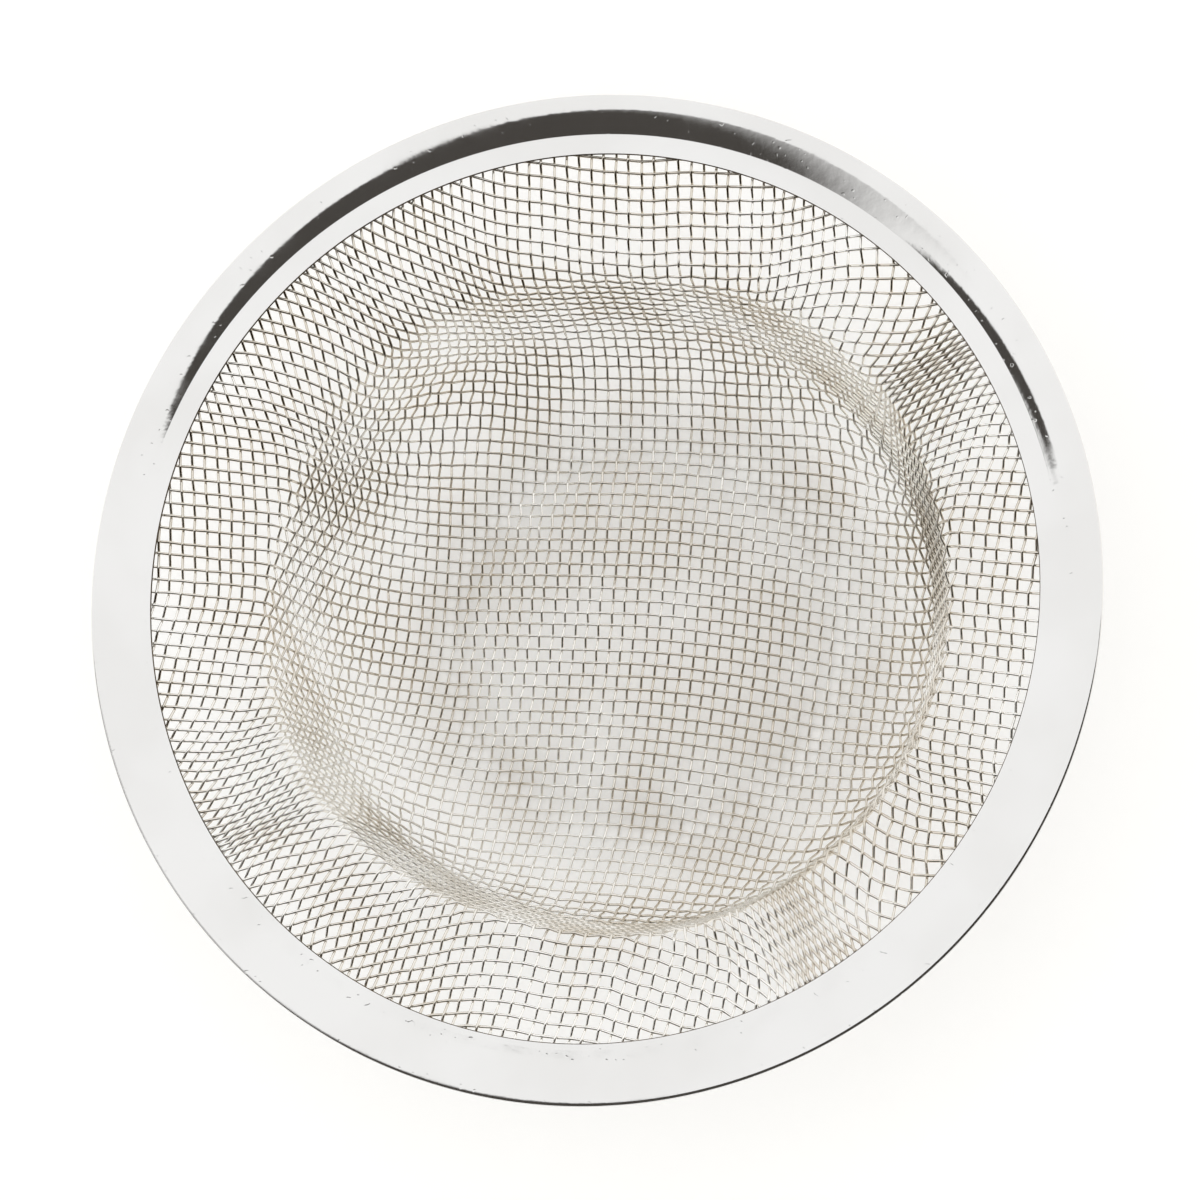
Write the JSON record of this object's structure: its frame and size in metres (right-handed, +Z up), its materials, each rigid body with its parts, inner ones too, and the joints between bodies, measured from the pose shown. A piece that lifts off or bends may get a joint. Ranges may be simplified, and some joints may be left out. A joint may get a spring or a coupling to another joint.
{
  "type": "sink strainer",
  "caption": "Round kitchen sink strainer: a domed-floor basket of woven steel wire cloth held in the folded hem of a wide polished rim ring.",
  "frame": {"origin": "centre of the bounding box at its bottom, on the strainer's axis, level with the lowest ring of the basket", "axes": "+Z up along the strainer's axis, from the basket's floor to the rim; X and Y across it"},
  "size_m": [0.1142, 0.1142, 0.0314],
  "materials": {
    "rim_steel": "polished stainless sheet",
    "wire_cloth": "bright drawn stainless wire, plain weave"
  },
  "bodies": {
    "root": {"rim_ring": "rim_steel", "basket_cloth": "wire_cloth"}
  },
  "joints": []
}
